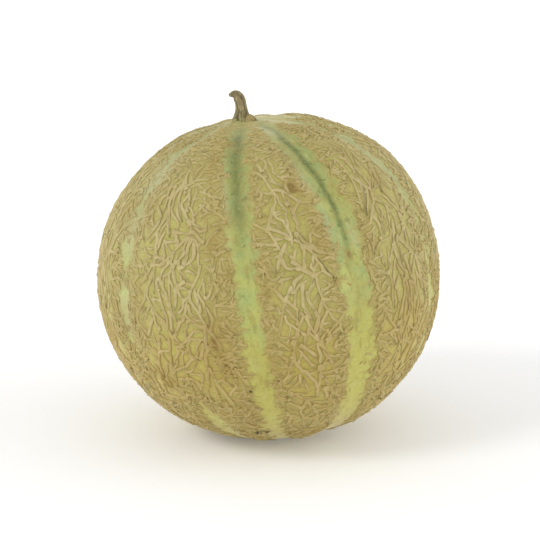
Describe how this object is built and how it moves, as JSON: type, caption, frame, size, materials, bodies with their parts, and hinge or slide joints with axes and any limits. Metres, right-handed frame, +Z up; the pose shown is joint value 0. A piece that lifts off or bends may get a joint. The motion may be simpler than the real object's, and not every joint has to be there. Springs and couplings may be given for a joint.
{
  "type": "cantaloupe melon",
  "caption": "Whole round netted melon with shallow furrows between its ribs and a short dried stem, lying on a small flat spot.",
  "frame": {"origin": "middle of the bounding box, on the surface that the melon rests on", "axes": "+Z up; the melon's own axis leans 7.9 degrees from +Z towards -X, stem end up, and the stem's tip hooks towards -X"},
  "size_m": [0.1498, 0.1496, 0.1528],
  "materials": {
    "rind": "dull waxy green-yellow skin under a raised corky tan net",
    "dried_stem": "dry, fibrous and dull"
  },
  "bodies": {
    "root": {"melon": "rind", "stem": "dried_stem"}
  },
  "joints": []
}
